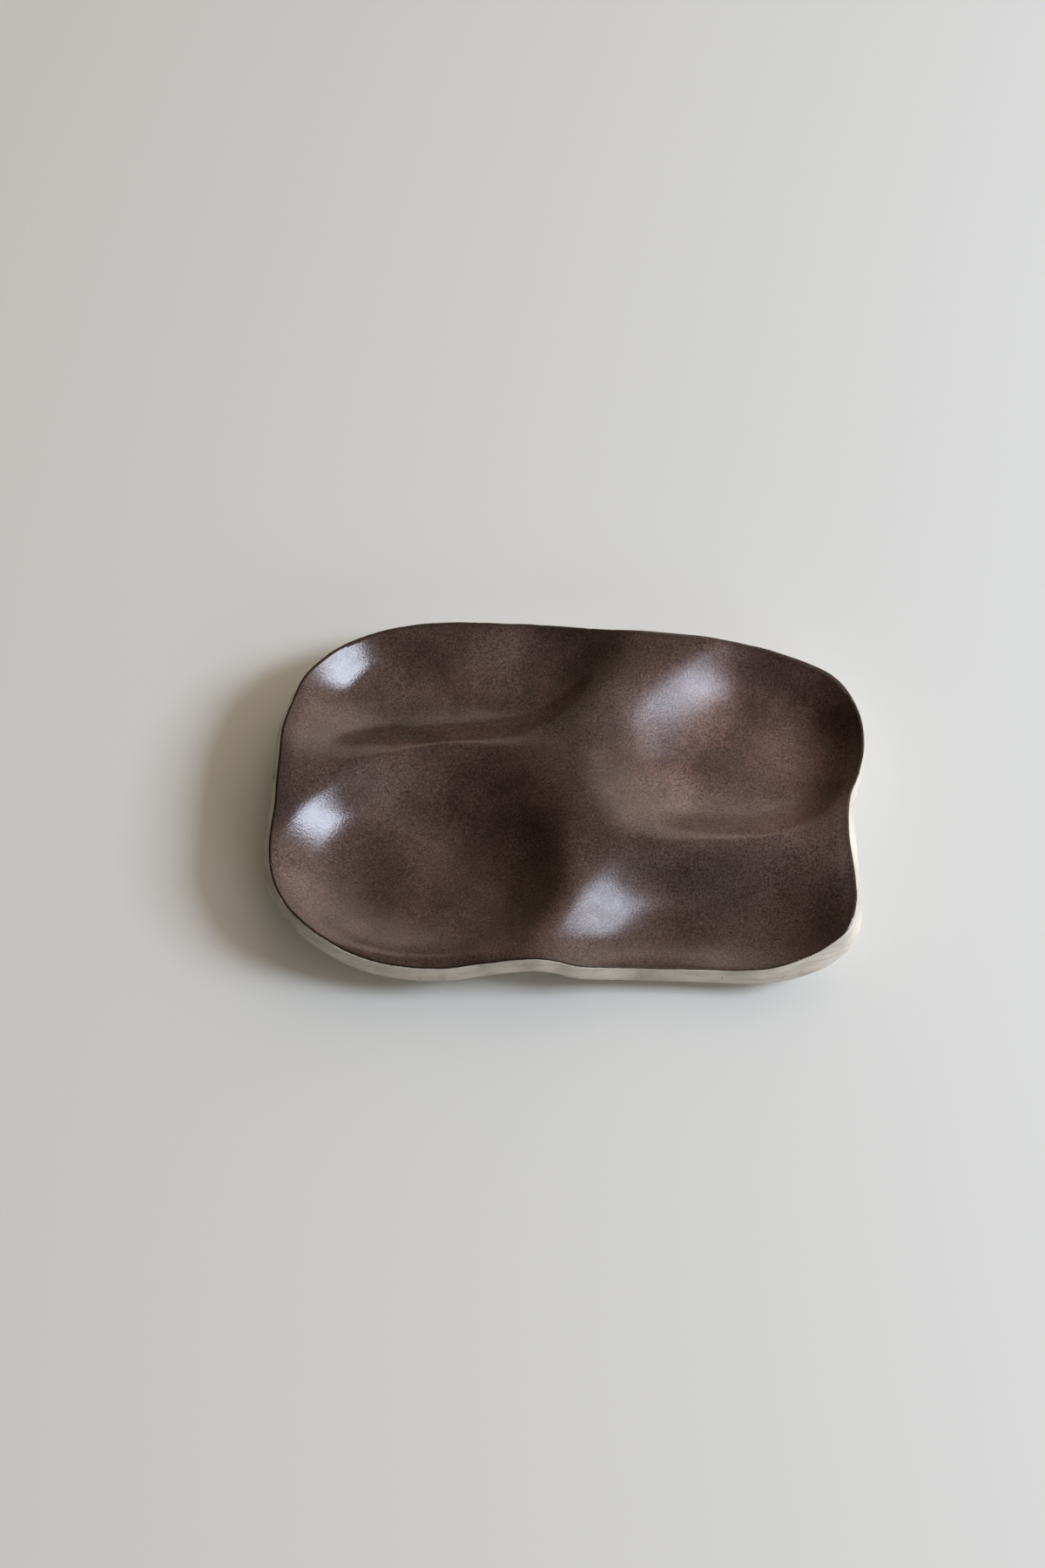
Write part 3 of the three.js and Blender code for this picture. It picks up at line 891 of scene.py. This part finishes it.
@dataclass(frozen=True)
class SoftPanel:
    """A plain soft light: where it hangs as seen from the plate, its size, its colour and its power.

    Angles are in degrees, lengths in metres and the power in watts.
    """

    name: str
    azimuth: float
    elevation: float
    distance: float
    width: float
    height: float
    colour: str
    power: float
    shines: bool = True  # whether glossy skins mirror it
    lights: bool = True  # whether it lights what is matt


@dataclass(frozen=True)
class Studio:
    """The table, the lights and the camera, in metres and degrees."""

    table: str = "#dfe0d9"
    table_roughness: float = 0.9
    table_size: float = 8.0
    table_gap: float = 0.00004  # keeps the table clear of the resting faces
    panels: tuple[SoftPanel, ...] = (
        SoftPanel("window_shine", -20.0, 39.5, 1.25, 0.46, 0.49, "#deeaff", 15.5, lights=False),
        SoftPanel("window_light", 2.0, 31.0, 2.0, 0.65, 0.65, "#deeaff", 44.0, shines=False),
        SoftPanel("white_card", -52.0, 20.0, 2.8, 1.2, 0.8, "#e6eeff", 12.5, shines=False),
    )
    room_colour: str = "#ffe7cc"
    glow_colour: str = "#fff3ea"
    room_level: float = 0.26  # how bright the room is on the whole
    room_dark: float = 0.015  # and on its dark side
    room_slant: tuple[float, float, float] = (1.4, 0.8, 0.0)  # which way it grows brighter
    glow_azimuth: float = 56.0
    glow_elevation: float = 18.0
    glow_reach: float = 0.68  # cosine of the angle at which the glow fades out
    glow_level: float = 1.2
    camera_azimuth: float = -90.0
    camera_elevation: float = 66.0
    camera_distance: float = 0.833
    camera_aim: tuple[float, float, float] = (-0.0173, 0.0039, 0.015)
    lens: float = 50.0
    sensor: float = 36.0

    @staticmethod
    def towards(azimuth: float, elevation: float) -> Vector:
        """The direction at an azimuth from +X towards +Y and an elevation."""
        a, e = math.radians(azimuth), math.radians(elevation)
        return Vector((math.cos(e) * math.cos(a), math.cos(e) * math.sin(a), math.sin(e)))

    def build_table(self) -> bpy.types.Object:
        """Lays the pale table top under the plate.

        Returns:
            The table's object.
        """
        deselect_all()
        bpy.ops.mesh.primitive_plane_add(size=self.table_size, location=(0, 0, -self.table_gap))
        table = bpy.context.object
        table.name = "table_top"
        material = bpy.data.materials.new("painted_table")
        material.use_nodes = True
        nodes = NodeTree(material.node_tree)
        # A board painted matt off-white, which gives an even tone without a shine
        shader = nodes.add("ShaderNodeBsdfPrincipled", Base_Color=srgb(self.table),
                           Roughness=self.table_roughness)
        nodes.add("ShaderNodeOutputMaterial", Surface=shader.outputs[0])
        table.data.materials.append(material)
        return table

    def light(self) -> None:
        """Hangs the soft panels and fills the room."""
        for panel in self.panels:
            lamp = bpy.data.lights.new(panel.name, "AREA")
            lamp.shape, lamp.size, lamp.size_y = "RECTANGLE", panel.width, panel.height
            lamp.energy, lamp.color = panel.power, srgb(panel.colour)[:3]
            hung = bpy.data.objects.new(panel.name, lamp)
            way = self.towards(panel.azimuth, panel.elevation)
            hung.location = way * panel.distance
            hung.rotation_euler = way.to_track_quat("Z", "Y").to_euler()
            hung.visible_glossy, hung.visible_diffuse = panel.shines, panel.lights
            bpy.context.scene.collection.objects.link(hung)
        world = bpy.data.worlds.new("room")
        world.use_nodes = True
        nodes = NodeTree(world.node_tree)
        way = nodes.add("ShaderNodeTexCoord").outputs["Generated"]
        slant = nodes.add("ShaderNodeVectorMath", {"operation": "DOT_PRODUCT"}, n0=way, n1=self.room_slant)
        level = nodes.add("ShaderNodeMapRange", {"clamp": False}, Value=slant.outputs["Value"],
                          n1=-1.0, n2=1.0, n3=self.room_dark, n4=2 * self.room_level + self.room_dark)
        lowest = nodes.add("ShaderNodeMath", {"operation": "MAXIMUM"}, n0=level.outputs[0],
                           n1=self.room_dark)
        # Daylight comes back off a far wall as a broad low glow
        towards = nodes.add("ShaderNodeVectorMath", {"operation": "DOT_PRODUCT"}, n0=way,
                            n1=self.towards(self.glow_azimuth, self.glow_elevation))
        glow = nodes.add("ShaderNodeMapRange", {"interpolation_type": "SMOOTHSTEP"},
                         Value=towards.outputs["Value"], n1=self.glow_reach, n2=1.0,
                         n3=0.0, n4=self.glow_level)
        room = nodes.add("ShaderNodeBackground", Color=srgb(self.room_colour), Strength=lowest.outputs[0])
        wall = nodes.add("ShaderNodeBackground", Color=srgb(self.glow_colour), Strength=glow.outputs[0])
        both = nodes.add("ShaderNodeAddShader", n0=room.outputs[0], n1=wall.outputs[0])
        nodes.add("ShaderNodeOutputWorld", Surface=both.outputs[0])
        bpy.context.scene.world = world

    def place_camera(self) -> None:
        """Sets the camera at the photograph's angle."""
        data = bpy.data.cameras.new("camera")
        data.lens, data.sensor_fit, data.sensor_height = self.lens, "VERTICAL", self.sensor
        camera = bpy.data.objects.new("camera", data)
        way = self.towards(self.camera_azimuth, self.camera_elevation)
        camera.location = Vector(self.camera_aim) + way * self.camera_distance
        camera.rotation_euler = way.to_track_quat("Z", "Y").to_euler()
        bpy.context.scene.collection.objects.link(camera)
        bpy.context.scene.camera = camera
        bpy.context.scene.view_settings.view_transform = "Standard"


def main() -> None:
    """Builds the plate and its studio."""
    logging.basicConfig(level=logging.INFO, format="%(name)s: %(message)s")
    for piece in SnackPlate().build():
        size = np.ptp(points_of(piece), axis=0) / MM
        log.info("%s: %d faces, %s mm", piece.name, len(piece.data.polygons), np.round(size, 1))
    studio = Studio()
    log.info("%s laid", studio.build_table().name)
    studio.light()
    studio.place_camera()


if __name__ == "__main__":
    main()
